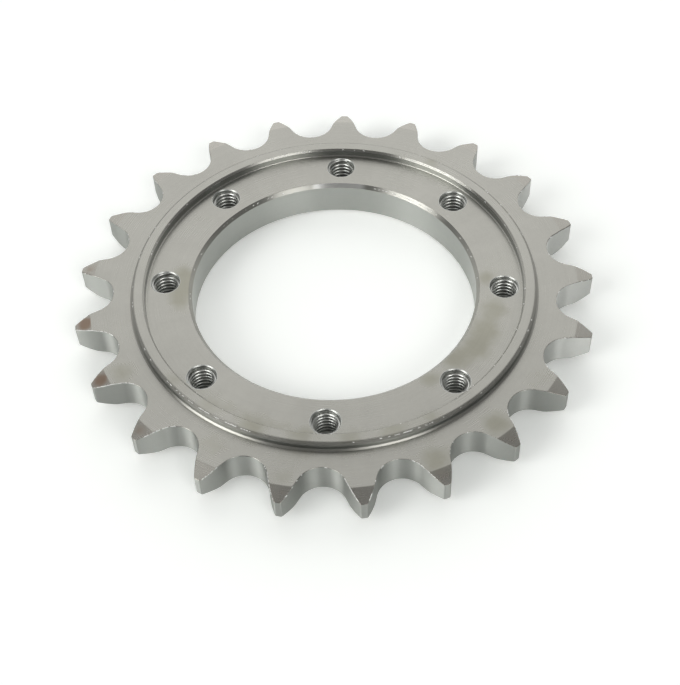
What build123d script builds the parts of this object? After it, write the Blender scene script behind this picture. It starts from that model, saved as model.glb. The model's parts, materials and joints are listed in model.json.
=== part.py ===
from build123d import *
from math import acos, atan2, cos, degrees, hypot, radians, sin, tan
import os

# Chain sprocket, one turned and toothed piece of steel. Millimetres.
# The origin is on the bore axis at the bottom face, and +Z points out of the recessed seat.
# One tooth and one tapped hole lie on +Y.

# Chain that the teeth are cut for
chain_pitch = 15.875
roller_dia = 10.16
tooth_count = 21

# Tooth form
seat_ratio = 1.01           # seating arc diameter over roller diameter
seat_half_angle = 64.5      # half of the arc that a roller can touch
flank_radius = 24.0
tooth_addendum = 3.25       # tooth tip above the pitch circle
tip_corner_radius = 0.5
tip_corner_share = 0.33     # most of a tip's land that one eased corner may take
tooth_bevel_width = 3.5     # radial width of the bevel at each tooth tip
tooth_bevel_angle = 16.0

# Levels, from the bottom face up
ring_height = 8.5
plate_thickness = 6.9       # the tooth plate hangs down from the level of the seat face
lip_height = 1.9

# Bore, seat and lip
bore_dia = 62.0
bore_top_chamfer = 0.75
bore_bottom_chamfer = 0.6
seat_width = 10.1
lip_wall = 2.9
lip_inner_chamfer = 0.4
lip_outer_chamfer = 0.4
lip_foot_ease = 0.35        # 45 degree ease where the lip stands on the seat face and on the plate
hub_edge_chamfer = 0.4

# Tapped holes in the seat face
hole_count = 8
hole_offset = 6.0           # hole centre out from the bore wall
thread_dia = 6.0
hole_mouth_dia = 6.4
hole_mouth_angle = 90

# Sizes that follow from these
tooth_angle = 360 / tooth_count
pitch_radius = chain_pitch / 2 / sin(radians(tooth_angle / 2))
seat_radius = seat_ratio * roller_dia / 2
tip_radius = pitch_radius + tooth_addendum
bevel_start_radius = tip_radius - tooth_bevel_width
plate_bottom = ring_height - plate_thickness
lip_top = ring_height + lip_height
bore_radius = bore_dia / 2
register_radius = bore_radius + seat_width
lip_radius = register_radius + lip_wall
bolt_circle_radius = bore_radius + hole_offset
first_angle = 90            # direction of the first tooth and the first hole
cut_margin = 2.0            # how far a cutting shape runs past the metal


def flank_sweep(top):
    """Angle that a flank turns through between the seating arc and the height top."""
    flank_start = pitch_radius - seat_radius * cos(radians(seat_half_angle))
    end_cosine = (top - flank_start) / flank_radius + cos(radians(seat_half_angle))
    return seat_half_angle - degrees(acos(end_cosine))


def tip_land():
    """Width left at a tooth tip between its two flanks."""
    start_x = seat_radius * sin(radians(seat_half_angle))
    start_y = pitch_radius - seat_radius * cos(radians(seat_half_angle))
    centre_x = start_x + flank_radius * sin(radians(seat_half_angle))
    centre_y = start_y - flank_radius * cos(radians(seat_half_angle))
    centre_distance = hypot(centre_x, centre_y)
    span = tip_radius**2 + centre_distance**2 - flank_radius**2
    flank_angle = atan2(centre_x, centre_y) - acos(span / (2 * tip_radius * centre_distance))
    return 2 * tip_radius * sin(radians(tooth_angle / 2) - flank_angle)


# One tooth gap, standing on +Y: a seating arc, and a flank arc on each side that bulges into the gap
gap_top = tip_radius + cut_margin
with BuildSketch() as tooth_gap:
    with BuildLine():
        seat = CenterArc((0, pitch_radius), seat_radius, -90 - seat_half_angle, 2 * seat_half_angle)
        sweep_angle = flank_sweep(gap_top)
        right_flank = JernArc(seat @ 1, seat % 1, flank_radius, -sweep_angle)
        left_flank = JernArc(seat @ 0, -(seat % 0), flank_radius, sweep_angle)
        Line(right_flank @ 1, left_flank @ 1)
    make_face()

# Toothed outline with its tip corners eased
with BuildSketch(Plane.XY.offset(plate_bottom)) as tooth_outline:
    Circle(tip_radius)
    with PolarLocations(0, tooth_count, start_angle=tooth_angle / 2):
        add(tooth_gap.sketch, mode=Mode.SUBTRACT)
    tip_corners = tooth_outline.vertices().filter_by(
        lambda corner: hypot(corner.X, corner.Y) > tip_radius - tip_corner_radius
    )
    fillet(tip_corners, min(tip_corner_radius, tip_corner_share * tip_land()))

# Section of the ring, from the bore out to the foot of the lip
with BuildSketch(Plane.XZ) as ring_section:
    with BuildLine():
        Polyline(
            (bore_radius + bore_bottom_chamfer, 0),
            (bore_radius, bore_bottom_chamfer),
            (bore_radius, ring_height - bore_top_chamfer),
            (bore_radius + bore_top_chamfer, ring_height),
            (register_radius - lip_foot_ease, ring_height),
            (register_radius, ring_height + lip_foot_ease),
            (register_radius, lip_top - lip_inner_chamfer),
            (register_radius + lip_inner_chamfer, lip_top),
            (lip_radius - lip_outer_chamfer, lip_top),
            (lip_radius, lip_top - lip_outer_chamfer),
            (lip_radius, ring_height + lip_foot_ease),
            (lip_radius + lip_foot_ease, ring_height),
            (lip_radius + lip_foot_ease, plate_bottom),
            (lip_radius, plate_bottom),
            (lip_radius, hub_edge_chamfer),
            (lip_radius - hub_edge_chamfer, 0),
            close=True,
        )
    make_face()

# Wedge that the tooth bevel turns away, above and below the plate
with BuildSketch(Plane.XZ) as bevel_section:
    for face_level, direction in ((ring_height, 1), (plate_bottom, -1)):
        past_tip = tip_radius + cut_margin
        depth_past_tip = (past_tip - bevel_start_radius) * tan(radians(tooth_bevel_angle))
        with BuildLine():
            Polyline(
                (bevel_start_radius, face_level),
                (past_tip, face_level + direction * cut_margin),
                (past_tip, face_level - direction * depth_past_tip),
                close=True,
            )
        make_face()

with BuildPart() as sprocket:
    add(tooth_outline.sketch)
    extrude(amount=plate_thickness)
    revolve(bevel_section.sketch, axis=Axis.Z, mode=Mode.SUBTRACT)
    Cylinder(
        register_radius,
        ring_height,
        align=(Align.CENTER, Align.CENTER, Align.MIN),
        mode=Mode.SUBTRACT,
    )
    revolve(ring_section.sketch, axis=Axis.Z)
    with Locations(Plane.XY.offset(ring_height)):
        with PolarLocations(bolt_circle_radius, hole_count, start_angle=first_angle):
            CounterSinkHole(
                radius=thread_dia / 2,
                counter_sink_radius=hole_mouth_dia / 2,
                counter_sink_angle=hole_mouth_angle,
            )

sprocket.part.label = "sprocket"

os.makedirs("parts", exist_ok=True)
export_step(sprocket.part, "parts/sprocket.step")
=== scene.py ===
import json
from math import acos, atan2, ceil, cos, pi, radians, sin, tan

import bpy
import numpy as np
from bpy.props import FloatProperty, FloatVectorProperty, IntProperty, PointerProperty
from mathutils import Matrix, Vector
from mathutils.geometry import delaunay_2d_cdt


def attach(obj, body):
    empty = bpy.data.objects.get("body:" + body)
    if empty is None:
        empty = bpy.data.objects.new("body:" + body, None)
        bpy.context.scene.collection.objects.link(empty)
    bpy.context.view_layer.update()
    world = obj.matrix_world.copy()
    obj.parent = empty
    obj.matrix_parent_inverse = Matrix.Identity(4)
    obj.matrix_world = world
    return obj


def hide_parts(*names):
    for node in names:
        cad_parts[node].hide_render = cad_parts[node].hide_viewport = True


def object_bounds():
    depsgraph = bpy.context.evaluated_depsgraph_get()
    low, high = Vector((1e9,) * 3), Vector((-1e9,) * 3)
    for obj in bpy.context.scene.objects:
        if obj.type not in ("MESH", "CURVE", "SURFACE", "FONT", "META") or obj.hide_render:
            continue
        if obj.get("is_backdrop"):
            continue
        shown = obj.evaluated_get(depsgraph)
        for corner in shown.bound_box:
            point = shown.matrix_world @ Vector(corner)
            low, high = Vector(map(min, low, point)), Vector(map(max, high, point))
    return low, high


bl_info = {
    "name": "Chain sprocket",
    "version": (1, 0, 0),
    "blender": (4, 5, 0),
    "location": "View3D > Sidebar > Sprocket",
    "description": "A turned and toothed steel sprocket with tapped holes, on a pale studio floor",
    "category": "Object",
}

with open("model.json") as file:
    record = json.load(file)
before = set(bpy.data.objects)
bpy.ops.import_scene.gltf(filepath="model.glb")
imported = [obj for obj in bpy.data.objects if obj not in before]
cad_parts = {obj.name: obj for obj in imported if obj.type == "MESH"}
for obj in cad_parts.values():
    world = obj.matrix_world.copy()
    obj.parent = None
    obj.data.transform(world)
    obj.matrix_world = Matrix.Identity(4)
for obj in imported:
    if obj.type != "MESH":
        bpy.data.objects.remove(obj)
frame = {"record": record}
CAD_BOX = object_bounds()

MM = 0.001
MOUNTS = {mount["name"]: mount for mount in frame["record"]["mounts"]}

# Levels and circles that the frame gives
BORE_RADIUS = MOUNTS["bore"]["dims"]["r_mm"] * MM
RECESS_RADIUS = MOUNTS["register"]["dims"]["r_mm"] * MM
BOLT_CIRCLE_RADIUS = MOUNTS["bolts"]["dims"]["pcd_mm"] / 2 * MM
HOLE_COUNT = MOUNTS["bolts"]["dims"]["count"]
HOLE_RADIUS = MOUNTS["bolts"]["dims"]["hole_r_mm"] * MM
SEAT_LEVEL = MOUNTS["seat_face"]["pos_m"][2]
LIP_TOP = CAD_BOX[1][2]
TIP_RADIUS = CAD_BOX[1][1]          # a tooth lies on +Y
FIRST_ANGLE = pi / 2                # and so does a hole

# Steps along each curve of a tooth, round its edge and round a hole
SEAT_STEPS = 9
FLANK_STEPS = 7
CORNER_STEPS = 5
LAND_STEPS = 2
EDGE_STEPS = 4
HOLE_STEPS = 64
ROUND_STEP = radians(22)            # most that one step round a section's corner turns

# Rings of the toothed plate: shares of the way from the lip to the tooth roots, and the crease of the bevel
FACE_SHARES = (0.3, 0.6, 0.85)
CREASE_HALF_WIDTH = 0.12 * MM
CREASE_GAP = 0.03 * MM
FILL_TOLERANCE = 1e-9

# Waves round the ring that make the tooth edges uneven, their height, and the seed of where they start
UNEVEN_WAVES = (5, 13, 29, 57)
UNEVEN_HEIGHT = 0.16
UNEVEN_SEED = 3

# Seed of the directions in which the threads start
THREAD_SEED = 4

# Lines on which the burrs stand
BURR_LINE_STEPS = 720
BURR_INSET = 0.15                   # below a tooth edge, as a share of its rounding
BURR_FREE_TIP = 0.4 * MM            # outermost part of a tooth that stays clean
LIP_BURR_INSET = 0.76               # inside the lip, as a share of its outer chamfer
LIP_BURR_DROP = 1.6                 # below the lip's top, as a share of the edge break
BURR_TILT = 0.3                     # most that a burr leans from its line, in radians

# Where the edges carry burrs: the line, the middle's direction and the half width in degrees, and the share
BURR_SPOTS = (
    ("lip", 224, 3, 0.5),
    ("lip", 232, 2, 0.6),
    ("lip", 238, 5, 0.6),
    ("lip", 245, 2, 0.7),
    ("lip", 249, 2, 0.7),
    ("lip", 292, 4, 0.8),
    ("recess", 58, 9, 0.7),
    ("recess", 108, 8, 0.35),
    ("bore", 60, 12, 0.4),
    ("teeth", 195, 2.4, 1.0),
    ("teeth", 212, 2.4, 1.0),
    ("teeth", 230, 1.6, 0.6),
    ("teeth", 245, 1.6, 0.5),
    ("teeth", 261, 2.6, 0.7),
    ("teeth", 277.5, 3.0, 1.0),
    ("teeth", 292, 1.8, 0.6),
    ("teeth", 316, 2.0, 0.5),
    ("teeth", 333, 2.0, 0.4),
)

# Brown stains on the upper faces, and a faint darker brown band: direction in degrees, distance from the axis
# and size in mm, and strength
STAINS = (
    (176, 33.2, 2.6, 0.9),
    (183, 33.0, 3.0, 1.0),
    (190, 33.8, 2.4, 0.7),
    (309, 33.2, 2.2, 0.8),
    (322, 33.4, 3.0, 1.0),
    (331, 35.2, 3.2, 1.0),
    (340, 34.8, 3.2, 0.9),
    (350, 35.0, 3.0, 0.8),
    (4, 33.2, 2.2, 0.8),
    # These rows make a faint brown, darker band on the seat just inside the lip, from 228 to 264 degrees
    *((direction, 39.6, 2.2, 0.35) for direction in range(228, 265, 6)),
    (211, 50.0, 3.0, 0.7),
    (243, 49.0, 3.0, 0.4),
    (262, 51.0, 3.0, 0.4),
    (296, 51.0, 3.4, 0.9),
    (313, 50.4, 3.2, 0.9),
    (330, 50.0, 3.0, 0.4),
    (60, 43.0, 2.4, 0.6),
    (236, 42.4, 2.4, 0.5),
    (222, 42.4, 2.6, 0.5),
    *((direction, 42.4, 3.0, 0.7) for direction in (250, 264, 277, 289)),
    (300, 42.4, 3.0, 0.6),
)
# Reddish brown on the tooth bevels, in the same form
RUSTY_TIPS = (
    (175.7, 54.6, 1.6, 0.4),
    (192.9, 54.2, 1.9, 1.0),
    (210.0, 54.2, 1.9, 0.8),
    (227.1, 54.4, 1.8, 0.4),
    (261.4, 54.4, 1.8, 0.3),
    (295.7, 54.4, 1.8, 0.4),
    (312.9, 54.4, 1.8, 0.3),
)
# Stretches of tooth edge with a dark line, in degrees: start, end and soft ends
DARK_EDGE_STRETCHES = ((0.0, 4.0, 0.5), (17.2, 21.2, 0.5))

# Zones of the steel in mm: between the two numbers a mask goes from one side of the border to the other
BORE_BORDER = (31.8, 32.0)          # the bore and its rims lie inside
LIP_MIDDLE = (42.4, 42.6)
# Radius past which the tooth walls get painted light
PAINTED_WALL_LIGHT_RADIUS = (46.5, 47.5)
DARK_EDGE_BORDER = (50.0, 50.6)
BEVEL_BORDER = (52.9, 53.1)
LIP_FOOT_LEVEL = (8.5, 8.9)
LIP_RIM_LEVEL = (9.6, 9.8)
# Where a highlight is painted on the middle of the bore's far chamfer, and light on the walls of the
# right-hand teeth
PAINTED_HIGHLIGHT_Y = (5.0, 20.0)
PAINTED_WALL_LIGHT_X = (32.0, 46.0)
PAINTED_WALL_LIGHT_Y = (-20.0, -12.0)
# Zones with two borders, and the width of their soft ends
LIP_RADII = (40.9, 44.2, 0.1)
FOOT_RADII = (43.95, 44.45, 0.05)
FOOT_LEVELS = (8.48, 8.95, 0.1)
# Across the bore's far chamfer, where its highlight is painted
PAINTED_HIGHLIGHT_X = (-5.0, 4.5, 2.0)

# Height of the surface's normal, in the same forms: from walls to faces, and on the slopes between them
FACE_NORMAL = (0.15, 0.6)
TOP_NORMAL = (0.6, 0.9)
SLOPE_NORMAL = (0.4, 0.93, 0.05)
EDGE_NORMAL = (0.25, 0.93, 0.02)

# Soft windows of the studio: direction and height in degrees, half width in degrees, and radiance
WINDOWS = (
    (207, 31, 16, 4.7),
    (297, 37, 13, 4.0),
    (188, 62, 14, 0.6),
)
WINDOW_SOFTNESS = 0.4               # width of a window's soft edge, as a share of its half width
# The room between them: its radiance, what the back of the room adds, and what its sides take from that
ROOM_LIGHT = 0.235
BACK_LIGHT = 1.27
SIDE_LOSS = 0.34
SKY_TINT = (1.0, 1.0, 0.985)

FLOOR_GLOW = 0.2
FLOOR_HALF_WIDTH = 1.5
NEAREST_SEEN = 10 * MM


def length(name, description, millimetres):
    """A length property with a default in millimetres."""
    return FloatProperty(
        name=name, description=description, default=millimetres * MM, min=0, unit="LENGTH", precision=5
    )


def angle(name, description, degrees):
    """An angle property with a default in degrees."""
    return FloatProperty(name=name, description=description, default=radians(degrees), subtype="ANGLE")


def share(name, description, value):
    """A share between 0 and 1."""
    return FloatProperty(name=name, description=description, default=value, min=0, max=1, subtype="FACTOR")


def colour(name, description, value):
    """A colour property in linear light."""
    return FloatVectorProperty(
        name=name, description=description, default=value, subtype="COLOR", size=3, min=0, max=1
    )


class SprocketSizes(bpy.types.PropertyGroup):
    """Sizes of the steel ring that the frame doesn't give."""

    tooth_count: IntProperty(name="Teeth", description="Number of teeth", default=21, min=6)
    chain_pitch: length("Chain pitch", "Distance between two rollers of the chain", 15.875)
    seat_radius: length("Seating radius", "Radius of the arc that a roller sits in", 5.1308)
    seat_half_angle: angle("Seating half angle", "Half of the arc that a roller can touch", 64.5)
    flank_radius: length("Flank radius", "Radius of the tooth flanks", 24.0)
    tip_corner_radius: length("Tip corner", "Radius of the eased corners of a tooth tip", 0.438)
    bevel_width: length("Bevel width", "Radial width of the bevel at the tooth tips", 3.5)
    bevel_angle: angle("Bevel angle", "Slope of the bevel at the tooth tips", 16.0)
    plate_thickness: length("Plate thickness", "Thickness of the toothed plate", 6.9)
    lip_wall: length("Lip wall", "Radial thickness of the raised lip", 2.9)
    lip_inner_chamfer: length("Lip inner chamfer", "Chamfer on the inner rim of the lip", 0.4)
    lip_outer_chamfer: length("Lip outer chamfer", "Chamfer on the outer rim of the lip", 0.5)
    lip_rim_radius: length("Lip rim", "Rounding that wear left on the lip's outer rim", 0.8)
    lip_foot_ease: length("Lip foot", "Size of the ease at both feet of the lip", 0.35)
    bore_top_chamfer: length("Bore top chamfer", "Chamfer on the upper rim of the bore", 0.75)
    bore_bottom_chamfer: length("Bore bottom chamfer", "Chamfer on the lower rim of the bore", 0.6)
    hub_edge_chamfer: length("Hub edge chamfer", "Chamfer on the lower edge of the hub", 0.4)
    hole_mouth_radius: length("Hole mouth", "Radius of a tapped hole's countersunk mouth", 3.2)
    edge_break: length("Edge break", "Rounding that tumbling and use left on turned edges", 0.1)
    tooth_edge_break: length("Tooth edge break", "Rounding of the tooth edges", 0.13)


class ThreadSizes(bpy.types.PropertyGroup):
    """Sizes of the thread turns in the tapped holes."""

    pitch: length("Pitch", "Rise of the thread in one turn", 1.0)
    crest_radius: length("Crest radius", "Radius of the thread's inner crest", 2.52)
    crest_width: length("Crest width", "Width of the flat crest", 0.16)
    root_width: length("Root width", "Width of a ridge at the hole's wall", 0.86)
    wall_overlap: length("Wall overlap", "How far a ridge's root reaches into the wall", 0.05)
    mouth_clearance: length("Mouth clearance", "How far the turns stay behind the countersink", 0.03)
    steps_per_turn: IntProperty(name="Steps", description="Steps in one turn", default=56, min=12)


class BurrSizes(bpy.types.PropertyGroup):
    """Sizes of the fine burrs on the edges."""

    spacing: length("Spacing", "Distance between two places where a burr can stand", 0.2)
    smallest: length("Smallest", "Half length of the smallest burr", 0.1)
    largest: length("Largest", "Half length of the largest burr", 0.36)
    thickness: length("Thickness", "Half thickness of a burr", 0.12)
    stray: share("Stray", "Share of the places that has a burr away from the rubbed spots", 0.03)
    seed: IntProperty(name="Seed", description="Seed of the scatter", default=7)


class FinishColours(bpy.types.PropertyGroup):
    """Colours of the steel in linear light."""

    face: colour("Turned face", "Colour of the turned faces", (0.365, 0.361, 0.334))
    wall: colour("Wall", "Colour of the cut walls", (0.38, 0.39, 0.37))
    bevel: colour("Tooth bevel", "Colour of the bevels at the tooth tips", (0.37, 0.36, 0.33))
    stain: colour("Stain", "Colour of the brown stains", (0.264, 0.256, 0.197))
    rust: colour("Rust", "Colour of the reddish brown on the tooth bevels", (0.225, 0.15, 0.105))
    # Dark lines along stretches of tooth edge
    dark_edge: colour("Grime", "Colour of the dark lines on tooth edges", (0.08, 0.075, 0.06))
    # This colour is also painted as a highlight on the bore's far chamfer and as light on the right-hand
    # tooth walls
    bright: colour("Bright edge", "Colour of the rubbed edges", (0.88, 0.88, 0.86))


class StageSettings(bpy.types.PropertyGroup):
    """Camera and floor."""

    azimuth: angle("Azimuth", "Direction of the camera round the part", 4.45)
    elevation: angle("Elevation", "Height of the camera above the floor plane", 50.387)
    roll: angle("Roll", "Tilt of the camera about its own axis", -2.5814)
    distance: length("Distance", "Distance of the camera from the seat face's centre", 292.61)
    lens: FloatProperty(name="Lens", description="Focal length in millimetres", default=70.52)
    offset_right: length("Offset right", "How far the camera stands to the right", 1.35)
    offset_down: length("Offset down", "How far the camera stands below the line of sight", 12.68)
    floor: colour("Floor", "Colour of the floor", (0.97, 0.99, 0.975))


class Value:
    """A shader number. Arithmetic on it adds Math nodes."""

    def __init__(self, tree, socket):
        self.tree = tree
        self.socket = socket

    def __add__(self, other):
        return self.tree.math("ADD", self, other)

    def __sub__(self, other):
        return self.tree.math("SUBTRACT", self, other)

    def __mul__(self, other):
        return self.tree.math("MULTIPLY", self, other)

    def __truediv__(self, other):
        return self.tree.math("DIVIDE", self, other)

    def __rsub__(self, other):
        return self.tree.math("SUBTRACT", other, self)

    __radd__ = __add__
    __rmul__ = __mul__


class Tree:
    """A node tree that is built with one method for every kind of node."""

    def __init__(self, node_tree):
        self.nodes = node_tree.nodes
        self.links = node_tree.links
        self.nodes.clear()

    def add(self, kind, settings=None, inputs=None):
        """Adds a node. Its settings come first, and its inputs are numbers, colours, values or sockets."""
        node = self.nodes.new(kind)
        for name, setting in (settings or {}).items():
            setattr(node, name, setting)
        for key, source in (inputs or {}).items():
            self.feed(node.inputs[key], source)
        return node

    def feed(self, socket, source):
        """Links a value or a socket to an input, or sets it."""
        if isinstance(source, Value):
            source = source.socket
        if isinstance(source, bpy.types.NodeSocket):
            self.links.new(source, socket)
        else:
            socket.default_value = source

    def math(self, operation, *sources):
        """A Math node."""
        node = self.add("ShaderNodeMath", {"operation": operation}, dict(enumerate(sources)))
        return Value(self, node.outputs[0])

    def smooth(self, source, low, high):
        """0 below low, 1 above high and smooth between them."""
        node = self.add(
            "ShaderNodeMapRange",
            {"interpolation_type": "SMOOTHSTEP"},
            {"Value": source, "From Min": low, "From Max": high},
        )
        return Value(self, node.outputs["Result"])

    def band(self, source, low, high, fade):
        """1 between low and high, with soft ends."""
        return self.smooth(source, low - fade, low) * (1 - self.smooth(source, high, high + fade))

    def noise(self, vector, scale=1.0, detail=2.0, roughness=0.6, distortion=0.0):
        """A noise value about 0.5."""
        node = self.add(
            "ShaderNodeTexNoise",
            None,
            {
                "Vector": vector,
                "Scale": scale,
                "Detail": detail,
                "Roughness": roughness,
                "Distortion": distortion,
            },
        )
        return Value(self, node.outputs["Fac"])

    def vector(self, x, y, z):
        """A vector from three numbers."""
        return self.add("ShaderNodeCombineXYZ", None, {0: x, 1: y, 2: z}).outputs[0]

    def split(self, vector):
        """The three numbers of a vector."""
        node = self.add("ShaderNodeSeparateXYZ", None, {0: vector})
        return [Value(self, node.outputs[k]) for k in range(3)]

    def from_axis(self, x, y):
        """Distance from the Z axis."""
        return self.math("SQRT", x * x + y * y)

    def mix(self, factor, first, second, blend="MIX"):
        """A mix of two colours."""
        node = self.add(
            "ShaderNodeMix",
            {"data_type": "RGBA", "blend_type": blend},
            {0: factor, 6: first, 7: second},
        )
        return node.outputs[2]


def opaque(rgb):
    """A colour with its alpha."""
    return (*rgb, 1.0)


def polar(radius, turn):
    """A point on a circle round the axis."""
    return np.array((radius * cos(turn), radius * sin(turn)))


def spokes_at(turns):
    """Unit vectors from the axis, one for each turn."""
    return np.column_stack((np.cos(turns), np.sin(turns)))


def lip_outside(sizes):
    """Radius of the lip's outer wall."""
    return RECESS_RADIUS + sizes.lip_wall


def arc(centre, radius, start, end, steps, outward):
    """Rows of x, y and normal along an arc. outward is 1 where the metal lies inside it, and -1 outside."""
    rows = []
    for turn in np.linspace(start, end, steps + 1):
        ray = polar(1.0, turn)
        rows.append((*(centre + radius * ray), *(outward * ray)))
    return rows


def half_gap(sizes):
    """Rows of x, y and normal from the middle of a gap on +Y, clockwise to the middle of the next tooth."""
    half = sizes.seat_half_angle
    corner = sizes.tip_corner_radius
    tooth_angle = 2 * pi / sizes.tooth_count
    seat_centre = np.array((0, sizes.chain_pitch / 2 / sin(tooth_angle / 2)))
    flank_centre = seat_centre + (sizes.seat_radius + sizes.flank_radius) * polar(1.0, half - pi / 2)
    reach = np.hypot(*flank_centre)
    tip_reach = TIP_RADIUS - corner
    square = reach**2 + tip_reach**2 - (sizes.flank_radius - corner) ** 2
    corner_turn = atan2(flank_centre[1], flank_centre[0]) + acos(square / (2 * reach * tip_reach))
    corner_centre = polar(tip_reach, corner_turn)
    flank_end = atan2(*(corner_centre - flank_centre)[::-1])
    rows = arc(seat_centre, sizes.seat_radius, -pi / 2, half - pi / 2, SEAT_STEPS, -1)
    rows += arc(flank_centre, sizes.flank_radius, half + pi / 2, flank_end, FLANK_STEPS, 1)[1:]
    rows += arc(corner_centre, corner, flank_end, corner_turn, CORNER_STEPS, 1)[1:]
    rows += arc(np.zeros(2), TIP_RADIUS, corner_turn, pi / 2 - tooth_angle / 2, LAND_STEPS, 1)[1:]
    return np.array(rows)


def turned(rows, turn):
    """Rows of x, y and normal, turned about the axis."""
    spin = np.array(((cos(turn), sin(turn)), (-sin(turn), cos(turn))))
    return np.hstack((rows[:, :2] @ spin, rows[:, 2:] @ spin))


def tooth_outline(sizes):
    """Rows of x, y and normal round the whole toothed outline, anticlockwise."""
    tooth_angle = 2 * pi / sizes.tooth_count
    half = half_gap(sizes)
    rising = half * np.array((-1, 1, -1, 1))
    falling = turned(half, tooth_angle)[::-1]
    pitch_rows = np.vstack((rising, falling[1:-1]))
    turns = FIRST_ANGLE - pi / 2 + tooth_angle * (np.arange(sizes.tooth_count) + 0.5)
    return np.vstack([turned(pitch_rows, turn) for turn in turns])


def rounded(corners):
    """Rows of radius, height and normal along a section. Its corners give radius, height and rounding."""
    points = np.array([corner[:2] for corner in corners])
    along = np.diff(points, axis=0)
    along /= np.hypot(along[:, 0], along[:, 1])[:, None]
    normals = along[:, ::-1] * np.array((-1, 1))
    rows = [(*points[0], *normals[0])]
    for k in range(1, len(corners) - 1):
        before, after, radius = along[k - 1], along[k], corners[k][2]
        turn = atan2(before[0] * after[1] - before[1] * after[0], before @ after)
        start = points[k] - before * radius * tan(abs(turn) / 2)
        side = 1 if turn > 0 else -1
        centre = start + side * radius * normals[k - 1]
        steps = max(2, ceil(abs(turn) / ROUND_STEP))
        for bend in np.linspace(0, turn, steps + 1):
            spin = np.array(((cos(bend), sin(bend)), (-sin(bend), cos(bend))))
            rows.append((*(centre + (start - centre) @ spin), *(normals[k - 1] @ spin)))
    rows.append((*points[-1], *normals[-1]))
    return rows


def lip_section(sizes):
    """Section from the seat face over the lip, to the end of the ease on the plate."""
    outside = lip_outside(sizes)
    ease, small, rim = sizes.lip_foot_ease, sizes.edge_break, sizes.lip_rim_radius
    inner, outer = sizes.lip_inner_chamfer, sizes.lip_outer_chamfer
    return rounded((
        (RECESS_RADIUS - 2 * ease, SEAT_LEVEL, 0),
        (RECESS_RADIUS, SEAT_LEVEL, ease),
        (RECESS_RADIUS, LIP_TOP - inner, small),
        (RECESS_RADIUS + inner, LIP_TOP, small),
        (outside - outer, LIP_TOP, rim),
        (outside, LIP_TOP - outer, rim),
        (outside, SEAT_LEVEL + ease, 2 * small),
        (outside + ease, SEAT_LEVEL, small),
        (outside + 2 * ease, SEAT_LEVEL, 0),
    ))[:-1]


def hub_section(sizes, plate_bottom):
    """Section from under the plate, down the hub and onto its bottom face."""
    outside = lip_outside(sizes)
    small, chamfer = sizes.edge_break, sizes.hub_edge_chamfer
    return rounded((
        (outside + sizes.lip_foot_ease, plate_bottom, 0),
        (outside, plate_bottom, small),
        (outside, chamfer, small),
        (outside - chamfer, 0, small),
        (outside - 2 * chamfer, 0, 0),
    ))[1:]


def bore_section(sizes):
    """Section from the bottom face, up the bore and onto the seat face."""
    small, low, high = sizes.edge_break, sizes.bore_bottom_chamfer, sizes.bore_top_chamfer
    return rounded((
        (BORE_RADIUS + low + 2 * small, 0, 0),
        (BORE_RADIUS + low, 0, small),
        (BORE_RADIUS, low, small),
        (BORE_RADIUS, SEAT_LEVEL - high, small),
        (BORE_RADIUS + high, SEAT_LEVEL, small),
        (BORE_RADIUS + high + 2 * small, SEAT_LEVEL, 0),
    ))


def hole_section(sizes):
    """Section from the bottom face, up a tapped hole and out of its countersunk mouth."""
    small, mouth = sizes.edge_break, sizes.hole_mouth_radius
    return rounded((
        (HOLE_RADIUS + 2 * small, 0, 0),
        (HOLE_RADIUS, 0, small),
        (HOLE_RADIUS, SEAT_LEVEL - (mouth - HOLE_RADIUS), small),
        (mouth, SEAT_LEVEL, small / 2),
        (mouth + small, SEAT_LEVEL, 0),
    ))


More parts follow.
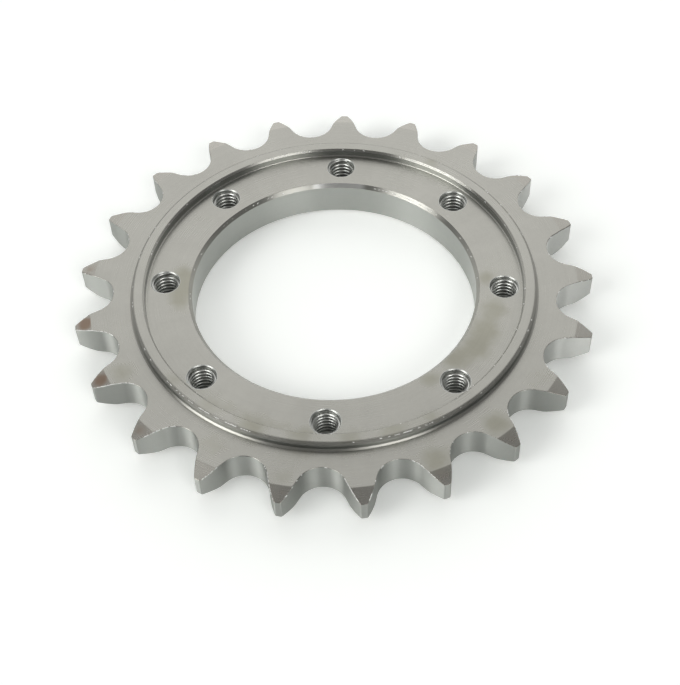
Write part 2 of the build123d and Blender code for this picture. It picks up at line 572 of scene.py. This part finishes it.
class Shell:
    """A mesh of rings with a true normal at each vertex."""

    def __init__(self):
        self.points = []
        self.normals = []
        self.faces = []
        self.cut_faces = []

    def ring(self, points, normals):
        """Adds one ring of vertices and returns their numbers."""
        first = len(self.points)
        self.points.extend(map(tuple, points))
        self.normals.extend(map(tuple, normals))
        return np.arange(first, len(self.points))

    def join(self, lower, upper):
        """Joins two rings with a strip of four-sided faces."""
        for a, b, c, d in zip(lower, upper, np.roll(upper, -1), np.roll(lower, -1)):
            self.faces.append((int(a), int(b), int(c), int(d)))

    def strip(self, rings):
        """Joins rings in order."""
        for lower, upper in zip(rings, rings[1:]):
            self.join(lower, upper)

    def revolve(self, rows, centre, turns):
        """Adds a ring for each row of radius, height and normal, and returns them joined."""
        spokes = spokes_at(turns)
        rings = []
        for radius, height, normal_out, normal_up in rows:
            points = np.column_stack((centre + radius * spokes, np.full(len(turns), height)))
            normals = np.column_stack((normal_out * spokes, np.full(len(turns), normal_up)))
            rings.append(self.ring(points, normals))
        self.strip(rings)
        return rings

    def fill(self, outer, inner, holes, upward):
        """Fills the flat face between two rings, around the holes."""
        loops = [outer, inner, *holes]
        numbers = np.concatenate(loops)
        flat = [Vector(self.points[n][:2]) for n in numbers]
        edges = []
        first = 0
        for loop in loops:
            edges += [(first + k, first + (k + 1) % len(loop)) for k in range(len(loop))]
            first += len(loop)
        cut = delaunay_2d_cdt(flat, edges, [], 0, FILL_TOLERANCE)
        places, triangles, origins = cut[0], cut[2], cut[3]
        hollows = [(np.zeros(2), self.reach(inner, np.zeros(2)))]
        for hole in holes:
            middle = np.mean([self.points[n][:2] for n in hole], axis=0)
            hollows.append((middle, self.reach(hole, middle)))
        rim = self.reach(outer, np.zeros(2))
        for triangle in triangles:
            middle = np.mean([places[v] for v in triangle], axis=0)
            if np.hypot(*middle) > rim:
                continue
            if any(np.hypot(*(middle - centre)) < reach for centre, reach in hollows):
                continue
            corners = [int(numbers[origins[v][0]]) for v in triangle]
            self.faces.append(tuple(corners if self.faces_up(corners) == upward else corners[::-1]))

    def reach(self, loop, centre):
        """Radius of a round loop about its centre."""
        return np.hypot(*(np.array(self.points[loop[0]][:2]) - centre))

    def faces_up(self, corners):
        """Does a flat triangle face up?"""
        a, b, c = (np.array(self.points[n][:2]) for n in corners)
        return np.cross(b - a, c - a) > 0

    def mesh(self, name):
        """The finished mesh, smooth, with its own normals. Its cut faces take the second material."""
        mesh = bpy.data.meshes.new(name)
        mesh.from_pydata(self.points, [], self.faces)
        mesh.shade_smooth()
        for number in self.cut_faces:
            mesh.polygons[number].material_index = 1
        normals = np.array(self.normals)
        normals /= np.linalg.norm(normals, axis=1)[:, None]
        mesh.normals_split_custom_set_from_vertices([tuple(row) for row in normals])
        return mesh


def plate_rings(shell, sizes, outline, spokes, edge, level, side):
    """Rings of one face of the toothed plate, from the lip out to the wall. side is 1 on top, -1 below."""
    bevel_start = TIP_RADIUS - sizes.bevel_width
    slope = tan(sizes.bevel_angle)
    inset = outline[:, :2] - outline[:, 2:] * edge[:, None]
    rim = np.hypot(inset[:, 0], inset[:, 1])

    def face(radius):
        """Drop of the face at a radius, and its slope there."""
        past = np.clip(radius - bevel_start + CREASE_HALF_WIDTH, 0, None)
        bend = np.minimum(past, 2 * CREASE_HALF_WIDTH)
        drop = slope * (bend**2 / (4 * CREASE_HALF_WIDTH) + past - bend)
        return drop, slope * bend / (2 * CREASE_HALF_WIDTH)

    def ring(points, radius, fall, lean):
        """One ring at a radius, lowered by fall and with its normal leaning to the wall's."""
        drop, tilt = face(radius)
        heights = level - side * (drop + fall)
        face_normals = np.column_stack((spokes * tilt[:, None], np.full(len(radius), float(side))))
        face_normals /= np.linalg.norm(face_normals, axis=1)[:, None]
        wall_normals = np.column_stack((outline[:, 2:], np.zeros(len(radius))))
        normals = face_normals * cos(lean) + wall_normals * sin(lean)
        return shell.ring(np.column_stack((points, heights)), normals)

    rings = []
    root = rim.min()
    foot = lip_outside(sizes) + 1.5 * sizes.lip_foot_ease
    for part in FACE_SHARES:
        radius = np.full(len(rim), foot + part * (root - foot))
        rings.append(ring(spokes * radius[:, None], radius, 0.0, 0.0))
    # In a gap the three crease rings stay just inside the rim
    for gaps, offset in ((3, -CREASE_HALF_WIDTH), (2, 0.0), (1, CREASE_HALF_WIDTH)):
        radius = np.minimum(bevel_start + offset, rim - gaps * CREASE_GAP)
        rings.append(ring(spokes * radius[:, None], radius, 0.0, 0.0))
    for lean in np.linspace(0, pi / 2, EDGE_STEPS + 1):
        points = inset + outline[:, 2:] * (edge * sin(lean))[:, None]
        radius = np.hypot(points[:, 0], points[:, 1])
        rings.append(ring(points, radius, edge * (1 - cos(lean)), lean))
    return rings


def uneven(count):
    """A smooth closed row of numbers about 1, for edges that aren't all alike."""
    draws = np.random.default_rng(UNEVEN_SEED)
    turns = np.linspace(0, 2 * pi, count, endpoint=False)
    row = np.ones(count)
    for waves in UNEVEN_WAVES:
        row += UNEVEN_HEIGHT * np.sin(waves * turns + draws.uniform(0, 2 * pi))
    return row


def ring_mesh(sizes):
    """The whole steel ring as one closed mesh."""
    shell = Shell()
    outline = tooth_outline(sizes)
    edge = sizes.tooth_edge_break * uneven(len(outline))
    inset = outline[:, :2] - outline[:, 2:] * edge[:, None]
    turns = np.arctan2(inset[:, 1], inset[:, 0])
    spokes = spokes_at(turns)
    plate_bottom = SEAT_LEVEL - sizes.plate_thickness

    lip_rings = shell.revolve(lip_section(sizes), np.zeros(2), turns)
    top_rings = plate_rings(shell, sizes, outline, spokes, edge, SEAT_LEVEL, 1)
    under_rings = plate_rings(shell, sizes, outline, spokes, edge, plate_bottom, -1)[::-1]
    hub_rings = shell.revolve(hub_section(sizes, plate_bottom), np.zeros(2), turns)
    shell.strip([lip_rings[-1], *top_rings])
    shell.join(top_rings[-1], under_rings[0])
    shell.strip([*under_rings, hub_rings[0]])
    bore_rings = shell.revolve(bore_section(sizes), np.zeros(2), turns)

    mouths = []
    feet = []
    round_turns = np.linspace(0, 2 * pi, HOLE_STEPS, endpoint=False)
    for k in range(HOLE_COUNT):
        centre = polar(BOLT_CIRCLE_RADIUS, FIRST_ANGLE + 2 * pi * k / HOLE_COUNT)
        before = len(shell.faces)
        hole_rings = shell.revolve(hole_section(sizes), centre, round_turns)
        shell.cut_faces += range(before, len(shell.faces))
        feet.append(hole_rings[0])
        mouths.append(hole_rings[-1])
    shell.fill(lip_rings[0], bore_rings[-1], mouths, True)
    shell.fill(hub_rings[-1], bore_rings[0], feet, False)
    return shell.mesh("steel_ring")


def spots(tree, spot, places):
    """Soft round spots at polar places, added up."""
    level = tree.add("ShaderNodeVectorMath", {"operation": "MULTIPLY"}, {0: spot, 1: (1.0, 1.0, 0.0)})
    flat = level.outputs[0]
    total = 0.0
    for direction, reach, size, strength in places:
        centre = polar(reach, radians(direction))
        away = tree.add("ShaderNodeVectorMath", {"operation": "DISTANCE"}, {0: flat, 1: (*centre, 0.0)})
        near = Value(tree, away.outputs["Value"]) / size
        total = total + strength * tree.math("EXPONENT", near * near * -1.0)
    return total


def new_material(name):
    """A material, and its node tree cleared."""
    material = bpy.data.materials.new(name)
    material.use_nodes = True
    return material, Tree(material.node_tree)


def steel_material(name, colours):
    """Turned steel: grooves run round the axis, walls are cooler, stains and rust lie on the faces, and some
    light and shade is painted into the colour.
    """
    material, tree = new_material(name)
    place = tree.add("ShaderNodeTexCoord").outputs["Object"]
    spot = tree.add("ShaderNodeVectorMath", {"operation": "SCALE"}, {0: place, "Scale": 1 / MM}).outputs[0]
    x, y, z = tree.split(spot)
    radius = tree.from_axis(x, y)
    turn = tree.math("ARCTAN2", y, x)
    up = tree.split(tree.add("ShaderNodeNewGeometry").outputs["Normal"])[2]

    # Kinds of surface, by the way that they face
    wall = 1 - tree.smooth(tree.math("ABSOLUTE", up), *FACE_NORMAL)
    top = tree.smooth(up, *TOP_NORMAL)
    slope = tree.band(up, *SLOPE_NORMAL)

    # Zones of the ring
    bevel = tree.smooth(radius, *BEVEL_BORDER) * (1 - wall)
    bore = 1 - tree.smooth(radius, *BORE_BORDER)
    lip = tree.band(radius, *LIP_RADII) * tree.smooth(z, *LIP_FOOT_LEVEL)
    outside = tree.smooth(radius, *LIP_MIDDLE)
    foot = tree.band(radius, *FOOT_RADII) * tree.band(z, *FOOT_LEVELS)
    rim = slope * (tree.smooth(z, *LIP_RIM_LEVEL) * outside + 0.12 * bore)
    # Painted highlight on the middle of the bore's far chamfer
    painted_chamfer_highlight = slope * bore * tree.smooth(y, *PAINTED_HIGHLIGHT_Y) * tree.band(x, *PAINTED_HIGHLIGHT_X)
    # Painted light on the walls of the right-hand teeth
    painted_wall_light = wall * tree.smooth(radius, *PAINTED_WALL_LIGHT_RADIUS)
    painted_wall_light = painted_wall_light * tree.smooth(x, *PAINTED_WALL_LIGHT_X) * tree.smooth(y, *PAINTED_WALL_LIGHT_Y)

    # Uneven marks. Those of the turning change quickly across the grooves and slowly along them
    cloud = tree.noise(spot, scale=0.09, detail=3.0, roughness=0.55)
    fine = tree.noise(spot, scale=1.1, detail=3.0)
    grit = tree.noise(spot, scale=3.2)
    grooves = tree.noise(tree.vector(radius * 3.1, turn * 1.3, z * 3.0), detail=3.0, roughness=0.7)
    fine_grooves = tree.noise(tree.vector(radius * 11.0, turn * 2.0, z * 9.0))
    spokes = tree.noise(tree.vector(turn * 7.0, radius * 0.08, z * 0.1), detail=3.0)

    # Stains and rust with ragged borders, and dark lines on stretches of tooth edge
    ragged = (tree.noise(spot, scale=0.32, detail=4.0, distortion=0.5) - 0.5) * 0.9
    stain = top * tree.smooth(spots(tree, spot, STAINS) + ragged, 0.05, 1.0)
    rust = top * bevel * tree.smooth(spots(tree, spot, RUSTY_TIPS) + ragged, 0.15, 0.8)
    dark_edge = 0.0
    for stretch in DARK_EDGE_STRETCHES:
        dark_edge = dark_edge + tree.band(turn, *map(radians, stretch))
    dark_edge = dark_edge * tree.band(up, *EDGE_NORMAL) * tree.smooth(radius, *DARK_EDGE_BORDER)

    base = tree.mix(wall, opaque(colours.face), opaque(colours.wall))
    base = tree.mix(bevel, base, opaque(colours.bevel))
    # Painted highlight on the bore's far chamfer and painted light on the right-hand tooth walls, in the
    # bright colour
    base = tree.mix(painted_chamfer_highlight + 0.42 * painted_wall_light, base, opaque(colours.bright))
    base = tree.mix(stain * 0.55, base, opaque(colours.stain))
    base = tree.mix(rust * 0.8, base, opaque(colours.rust))
    base = tree.mix(dark_edge * 0.8, base, opaque(colours.dark_edge))

    # Random marks of the turning vary the tone, and the chamfered rims are darker as painted shade
    tone = 0.80 + 0.10 * cloud + 0.10 * grooves + 0.06 * fine + 0.14 * spokes - 0.12 * rim
    # On the walls the tone is lighter all round; painted shade darkens the lip's walls, most of all the outer
    # one, and painted light lightens the bore wall
    tone = tone + wall * (0.12 - lip * (0.04 + 0.30 * outside) + 0.12 * bore)
    grey = tree.add("ShaderNodeCombineColor", None, {0: tone, 1: tone, 2: tone}).outputs[0]
    base = tree.mix(1.0, base, grey, "MULTIPLY")

    roughness = 0.22 + 0.04 * fine_grooves + 0.05 * cloud + 0.06 * stain + 0.08 * rust + 0.35 * rim
    roughness = roughness + wall * (0.30 - 0.24 * lip - 0.16 * bore) + 0.05 * foot
    relief = grooves * 0.6 + fine_grooves * 0.4 + grit * rim * 5.0
    bump = tree.add("ShaderNodeBump", None, {"Strength": 0.02, "Distance": 0.05 * MM, "Height": relief})
    surface = tree.add(
        "ShaderNodeBsdfPrincipled",
        None,
        {
            "Base Color": base,
            "Metallic": 1.0,
            "Roughness": roughness,
            "Anisotropic": 0.88,
            "Anisotropic Rotation": 0.25,
            "Normal": bump.outputs["Normal"],
        },
    )
    tree.add("ShaderNodeOutputMaterial", None, {"Surface": surface.outputs[0]})
    return material


def cut_material(name, colours, brightness, metallic, roughness):
    """Cut or torn steel between the colour of the walls and that of the bright edges."""
    material, tree = new_material(name)
    grain = tree.noise(tree.add("ShaderNodeTexCoord").outputs["Object"], scale=0.9 / MM, detail=3.0)
    base = tree.mix(brightness + 0.3 * grain, opaque(colours.wall), opaque(colours.bright))
    surface = tree.add(
        "ShaderNodeBsdfPrincipled",
        None,
        {"Base Color": base, "Metallic": metallic, "Roughness": roughness + 0.12 * grain},
    )
    tree.add("ShaderNodeOutputMaterial", None, {"Surface": surface.outputs[0]})
    return material


def piece(name, mesh, *materials):
    """An object at the origin, in the scene, with its materials."""
    made = bpy.data.objects.new(name, mesh)
    bpy.context.scene.collection.objects.link(made)
    for material in materials:
        made.data.materials.append(material)
    return made


class Geometry(Tree):
    """A Geometry Nodes tree with named inputs."""

    def __init__(self, name):
        self.group = bpy.data.node_groups.new(name, "GeometryNodeTree")
        super().__init__(self.group)
        self.group.interface.new_socket("Geometry", in_out="OUTPUT", socket_type="NodeSocketGeometry")
        self.group.interface.new_socket("Geometry", in_out="INPUT", socket_type="NodeSocketGeometry")
        self.source = self.add("NodeGroupInput")
        self.given = {}

    def input(self, name, kind, value):
        """A named input and the value that the modifier gives it."""
        socket = self.group.interface.new_socket(name, in_out="INPUT", socket_type=kind)
        self.given[socket.identifier] = value
        return Value(self, self.source.outputs[name])

    def finish(self, geometry, material, host):
        """Ends the tree, runs it on the host and leaves a plain mesh there."""
        real = self.add("GeometryNodeRealizeInstances", None, {0: geometry}).outputs[0]
        painted = self.add("GeometryNodeSetMaterial", None, {"Geometry": real, "Material": material})
        self.add("NodeGroupOutput", None, {0: painted.outputs[0]})
        modifier = host.modifiers.new(self.group.name, "NODES")
        modifier.node_group = self.group
        for identifier, value in self.given.items():
            modifier[identifier] = value
        evaluated = host.evaluated_get(bpy.context.evaluated_depsgraph_get())
        mesh = bpy.data.meshes.new_from_object(evaluated)
        if not mesh.polygons:
            raise RuntimeError(f"{self.group.name} came out empty")
        host.modifiers.clear()
        host.data = mesh
        return host


def thread_piece(sizes, ring_sizes, material):
    """The thread turns of all the tapped holes."""
    tree = Geometry("thread_turns")
    pitch = tree.input("Pitch", "NodeSocketFloat", sizes.pitch)
    depth = tree.input("Depth", "NodeSocketFloat", SEAT_LEVEL)
    wall = tree.input("Hole radius", "NodeSocketFloat", HOLE_RADIUS)
    crest = tree.input("Crest radius", "NodeSocketFloat", sizes.crest_radius)
    mouth = tree.input("Mouth radius", "NodeSocketFloat", ring_sizes.hole_mouth_radius)
    circle = tree.input("Bolt circle radius", "NodeSocketFloat", BOLT_CIRCLE_RADIUS)
    count = tree.input("Holes", "NodeSocketInt", HOLE_COUNT)

    # One ridge, from half a pitch above the bottom face to half a pitch below the seat
    turns = depth / pitch - 1.0
    middle = (wall + crest + sizes.wall_overlap) / 2
    spiral = tree.add(
        "GeometryNodeCurveSpiral",
        None,
        {
            "Resolution": sizes.steps_per_turn,
            "Rotations": turns,
            "Start Radius": middle,
            "End Radius": middle,
            "Height": turns * pitch,
        },
    )
    rise = tree.vector(0.0, 0.0, pitch / 2)
    lifted = tree.add("GeometryNodeSetPosition", None, {"Geometry": spiral.outputs[0], "Offset": rise})
    upright = tree.add("GeometryNodeSetCurveNormal", {"mode": "Z_UP"}, {"Curve": lifted.outputs[0]})
    section = tree.add(
        "GeometryNodeCurvePrimitiveQuadrilateral",
        {"mode": "TRAPEZOID"},
        {
            "Bottom Width": sizes.root_width,
            "Top Width": sizes.crest_width,
            "Offset": 0.0,
            "Height": wall - crest + sizes.wall_overlap,
        },
    )
    ridge = tree.add(
        "GeometryNodeCurveToMesh",
        None,
        {"Curve": upright.outputs[0], "Profile Curve": section.outputs[0], "Fill Caps": True},
    )

    # Near the mouth the ridge is pushed back behind the cone of the countersink
    x, y, z = tree.split(tree.add("GeometryNodeInputPosition").outputs[0])
    radius = tree.from_axis(x, y)
    cone = mouth + sizes.mouth_clearance - (depth - z)
    widened = tree.math("MAXIMUM", radius, tree.math("MINIMUM", cone, wall + sizes.wall_overlap / 2))
    grown = widened / radius
    trimmed = tree.add(
        "GeometryNodeSetPosition",
        None,
        {"Geometry": ridge.outputs[0], "Position": tree.vector(x * grown, y * grown, z)},
    )

    holes = tree.add("GeometryNodeMeshCircle", None, {"Vertices": count, "Radius": circle})
    spin = tree.add(
        "FunctionNodeRandomValue",
        {"data_type": "FLOAT_VECTOR"},
        {0: (0.0, 0.0, 0.0), 1: (0.0, 0.0, 2 * pi), "Seed": THREAD_SEED},
    )
    copies = tree.add(
        "GeometryNodeInstanceOnPoints",
        None,
        {"Points": holes.outputs[0], "Instance": trimmed.outputs[0], "Rotation": spin.outputs[0]},
    )
    host = piece("thread_turns", bpy.data.meshes.new("thread_turns"))
    return tree.finish(copies.outputs[0], material, host)


def burr_lines(sizes):
    """Edge lines of the ring: the name, the places and the heights of each."""
    outline = tooth_outline(sizes)
    inset = sizes.tooth_edge_break * BURR_INSET
    teeth = outline[:, :2] - outline[:, 2:] * inset
    past_bevel = np.clip(np.hypot(*teeth.T) - TIP_RADIUS + sizes.bevel_width, 0, None)
    lines = [("teeth", teeth, SEAT_LEVEL - past_bevel * tan(sizes.bevel_angle) - inset)]
    spokes = spokes_at(np.linspace(0, 2 * pi, BURR_LINE_STEPS, endpoint=False))
    recess, bore = sizes.lip_inner_chamfer / 2, sizes.bore_top_chamfer / 2
    lip = LIP_BURR_INSET * sizes.lip_outer_chamfer
    for name, reach, height in (
        ("lip", lip_outside(sizes) - lip, LIP_TOP - LIP_BURR_DROP * sizes.edge_break),
        ("recess", RECESS_RADIUS + recess, LIP_TOP - recess),
        ("bore", BORE_RADIUS + bore, SEAT_LEVEL - bore),
    ):
        lines.append((name, spokes * reach, np.full(BURR_LINE_STEPS, height)))
    return lines


def burr_mesh(sizes, stray):
    """The edge lines as a mesh, with the share of burrs that each place has."""
    points = []
    edges = []
    amounts = []
    for name, places, heights in burr_lines(sizes):
        first = len(points)
        count = len(places)
        points += [(*place, height) for place, height in zip(places, heights)]
        edges += [(first + k, first + (k + 1) % count) for k in range(count)]
        directions = np.degrees(np.arctan2(places[:, 1], places[:, 0]))
        amount = np.full(count, stray)
        for line, middle, half_width, most in BURR_SPOTS:
            if line == name:
                away = np.abs((directions - middle + 180) % 360 - 180) / half_width
                amount = np.maximum(amount, most * np.exp(-(away**2)))
        amount[np.hypot(*places.T) > TIP_RADIUS - BURR_FREE_TIP] = 0
        amounts.append(amount)
    mesh = bpy.data.meshes.new("edge_burrs")
    mesh.from_pydata(points, edges, [])
    mesh.attributes.new("amount", "FLOAT", "POINT").data.foreach_set("value", np.concatenate(amounts))
    return mesh


def burr_piece(sizes, ring_sizes, material):
    """Fine burrs on the rubbed edges."""
    tree = Geometry("edge_burrs")
    spacing = tree.input("Spacing", "NodeSocketFloat", sizes.spacing)
    smallest = tree.input("Smallest", "NodeSocketFloat", sizes.smallest)
    largest = tree.input("Largest", "NodeSocketFloat", sizes.largest)
    thickness = tree.input("Thickness", "NodeSocketFloat", sizes.thickness)
    seed = tree.input("Seed", "NodeSocketInt", sizes.seed)

    curve = tree.add("GeometryNodeMeshToCurve", None, {0: tree.source.outputs["Geometry"]}).outputs[0]
    places = tree.add("GeometryNodeCurveToPoints", {"mode": "LENGTH"}, {"Curve": curve, "Length": spacing})
    amount = tree.add("GeometryNodeInputNamedAttribute", {"data_type": "FLOAT"}, {"Name": "amount"})
    draw = tree.add("FunctionNodeRandomValue", {"data_type": "FLOAT"}, {"Seed": seed})
    stands = tree.add(
        "FunctionNodeCompare",
        {"data_type": "FLOAT", "operation": "LESS_THAN"},
        {0: draw.outputs[1], 1: amount.outputs[0]},
    )
    half_length = tree.add(
        "FunctionNodeRandomValue", {"data_type": "FLOAT"}, {"Min": smallest, "Max": largest, "Seed": seed + 1}
    )
    slimness = tree.add("FunctionNodeRandomValue", {"data_type": "FLOAT"}, {2: 0.5, 3: 1.0, "Seed": seed + 2})
    thin = Value(tree, slimness.outputs[1]) * thickness
    tilt = tree.add(
        "FunctionNodeRandomValue",
        {"data_type": "FLOAT_VECTOR"},
        {0: (-BURR_TILT,) * 3, 1: (BURR_TILT,) * 3, "Seed": seed + 3},
    )
    tilted = tree.add(
        "FunctionNodeRotateRotation",
        {"rotation_space": "LOCAL"},
        {0: places.outputs["Rotation"], 1: tilt.outputs[0]},
    )
    grain = tree.add("GeometryNodeMeshIcoSphere", None, {"Radius": 1.0, "Subdivisions": 2})
    copies = tree.add(
        "GeometryNodeInstanceOnPoints",
        None,
        {
            "Points": places.outputs[0],
            "Selection": stands.outputs[0],
            "Instance": grain.outputs[0],
            "Rotation": tilted.outputs[0],
            "Scale": tree.vector(thin, thin, Value(tree, half_length.outputs[1])),
        },
    )
    host = piece("edge_burrs", burr_mesh(ring_sizes, sizes.stray))
    return tree.finish(copies.outputs[0], material, host)


def studio_world(turn):
    """A soft room: light towards the back, dark overhead and behind the camera, with soft windows."""
    world = bpy.data.worlds.new("studio")
    world.use_nodes = True
    tree = Tree(world.node_tree)
    ray = tree.add("ShaderNodeTexCoord").outputs["Generated"]

    def along(azimuth, elevation):
        """Cosine of the angle between the ray and a direction of the studio."""
        way = (*polar(cos(elevation), azimuth + turn), sin(elevation))
        node = tree.add("ShaderNodeVectorMath", {"operation": "DOT_PRODUCT"}, {0: ray, 1: way})
        return Value(tree, node.outputs["Value"])

    back = tree.smooth(along(pi / 2, 0), 0.0, 0.85)
    aside = tree.smooth(tree.math("ABSOLUTE", along(0, 0)), 0.0, 0.5)
    level = ROOM_LIGHT + BACK_LIGHT * back * (1 - SIDE_LOSS * aside)
    for azimuth, elevation, half_width, radiance in WINDOWS:
        inner, outer = (cos(radians(half_width * (1 + side * WINDOW_SOFTNESS))) for side in (-1, 1))
        level = level + radiance * tree.smooth(along(radians(azimuth), radians(elevation)), outer, inner)
    seen = Value(tree, tree.add("ShaderNodeLightPath").outputs["Is Camera Ray"])
    shown = level + seen * (1 - level)
    sky = tree.add("ShaderNodeBackground", None, {"Color": opaque(SKY_TINT), "Strength": shown})
    tree.add("ShaderNodeOutputWorld", None, {"Surface": sky.outputs[0]})
    return world


def floor_material(tint):
    """Pale matt paper that shows white where nothing shades it."""
    material, tree = new_material("pale_paper")
    ray = tree.add("ShaderNodeLightPath")
    kinds = ("Is Camera Ray", "Is Glossy Ray", "Is Transmission Ray")
    straight, mirrored, refracted = (Value(tree, ray.outputs[kind]) for kind in kinds)
    strength = (straight + mirrored + refracted) * FLOOR_GLOW
    matt = tree.add("ShaderNodeBsdfDiffuse", None, {"Color": opaque(tint)})
    glow = tree.add("ShaderNodeEmission", None, {"Color": opaque(tint), "Strength": strength})
    both = tree.add("ShaderNodeAddShader", None, {0: matt.outputs[0], 1: glow.outputs[0]})
    tree.add("ShaderNodeOutputMaterial", None, {"Surface": both.outputs[0]})
    return material


def camera_place(stage):
    """The camera's matrix: round the seat face's centre, rolled and shifted off the line of sight."""
    back = Vector((0, -cos(stage.elevation), sin(stage.elevation)))
    level_right = Vector((1, 0, 0))
    level_up = back.cross(level_right)
    right = cos(stage.roll) * level_right + sin(stage.roll) * level_up
    up = back.cross(right)
    pose = Matrix((right, up, back)).transposed().to_4x4()
    pose.translation = stage.distance * back + stage.offset_right * right - stage.offset_down * up
    return Matrix.Translation((0, 0, SEAT_LEVEL)) @ Matrix.Rotation(stage.azimuth, 4, "Z") @ pose


class SPROCKET_OT_ring(bpy.types.Operator):
    """Make the steel ring with its teeth, lip, bore and holes"""

    bl_idname = "sprocket.ring"
    bl_label = "Make the ring"

    def execute(self, context):
        colours = context.scene.sprocket_colours
        turned_steel = steel_material("turned_steel", colours)
        cut_steel = cut_material("cut_hole", colours, brightness=0.0, metallic=1.0, roughness=0.3)
        ring = piece("steel_ring", ring_mesh(context.scene.sprocket_sizes), turned_steel, cut_steel)
        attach(ring, "root")
        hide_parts("sprocket")
        return {"FINISHED"}


class SPROCKET_OT_threads(bpy.types.Operator):
    """Make the thread turns in the tapped holes"""

    bl_idname = "sprocket.threads"
    bl_label = "Make the threads"

    def execute(self, context):
        scene = context.scene
        colours = scene.sprocket_colours
        steel = cut_material("cut_thread", colours, brightness=0.3, metallic=1.0, roughness=0.24)
        threads = thread_piece(scene.sprocket_threads, scene.sprocket_sizes, steel)
        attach(threads, "root")
        return {"FINISHED"}


class SPROCKET_OT_burrs(bpy.types.Operator):
    """Make the fine burrs on the rubbed edges"""

    bl_idname = "sprocket.burrs"
    bl_label = "Make the burrs"

    def execute(self, context):
        scene = context.scene
        colours = scene.sprocket_colours
        steel = cut_material("bright_burr", colours, brightness=0.6, metallic=0.2, roughness=0.4)
        burrs = burr_piece(scene.sprocket_burrs, scene.sprocket_sizes, steel)
        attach(burrs, "root")
        return {"FINISHED"}


class SPROCKET_OT_stage(bpy.types.Operator):
    """Set the floor, the light of the room and the camera"""

    bl_idname = "sprocket.stage"
    bl_label = "Set the stage"

    def execute(self, context):
        scene = context.scene
        stage = scene.sprocket_stage
        half = FLOOR_HALF_WIDTH
        corners = [(-half, -half, 0), (half, -half, 0), (half, half, 0), (-half, half, 0)]
        sheet = bpy.data.meshes.new("floor")
        sheet.from_pydata(corners, [], [(0, 1, 2, 3)])
        piece("floor", sheet, floor_material(stage.floor))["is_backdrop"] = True
        scene.world = studio_world(stage.azimuth)

        data = bpy.data.cameras.new("camera")
        data.lens = stage.lens
        data.clip_start = NEAREST_SEEN
        camera = bpy.data.objects.new("camera", data)
        scene.collection.objects.link(camera)
        camera.matrix_world = camera_place(stage)
        scene.camera = camera
        scene.view_settings.view_transform = "Standard"
        return {"FINISHED"}


class SPROCKET_PT_panel(bpy.types.Panel):
    """Lists the steps that make the part, and its sizes and colours"""

    bl_idname = "SPROCKET_PT_panel"
    bl_label = "Chain sprocket"
    bl_space_type = "VIEW_3D"
    bl_region_type = "UI"
    bl_category = "Sprocket"

    def draw(self, context):
        for operator in OPERATORS:
            self.layout.operator(operator.bl_idname)
        for name in GROUPS:
            box = self.layout.box()
            settings = getattr(context.scene, name)
            for key in settings.bl_rna.properties.keys():
                if key not in ("rna_type", "name"):
                    box.prop(settings, key)


GROUPS = {
    "sprocket_sizes": SprocketSizes,
    "sprocket_threads": ThreadSizes,
    "sprocket_burrs": BurrSizes,
    "sprocket_colours": FinishColours,
    "sprocket_stage": StageSettings,
}
OPERATORS = (SPROCKET_OT_ring, SPROCKET_OT_threads, SPROCKET_OT_burrs, SPROCKET_OT_stage)


def register():
    """Registers the groups, which go on the scene, then the operators and the panel."""
    for name, group in GROUPS.items():
        bpy.utils.register_class(group)
        setattr(bpy.types.Scene, name, PointerProperty(type=group))
    for kind in (*OPERATORS, SPROCKET_PT_panel):
        bpy.utils.register_class(kind)


def unregister():
    """Takes everything back in the opposite order."""
    for kind in (SPROCKET_PT_panel, *reversed(OPERATORS)):
        bpy.utils.unregister_class(kind)
    for name, group in reversed(GROUPS.items()):
        delattr(bpy.types.Scene, name)
        bpy.utils.unregister_class(group)


def main():
    """Makes the part and the stage."""
    register()
    bpy.ops.sprocket.ring()
    bpy.ops.sprocket.threads()
    bpy.ops.sprocket.burrs()
    bpy.ops.sprocket.stage()
    boxes = {"cad": CAD_BOX, "visual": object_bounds()}
    {name: [list(corner) for corner in box] for name, box in boxes.items()}


if __name__ == "__main__":
    main()
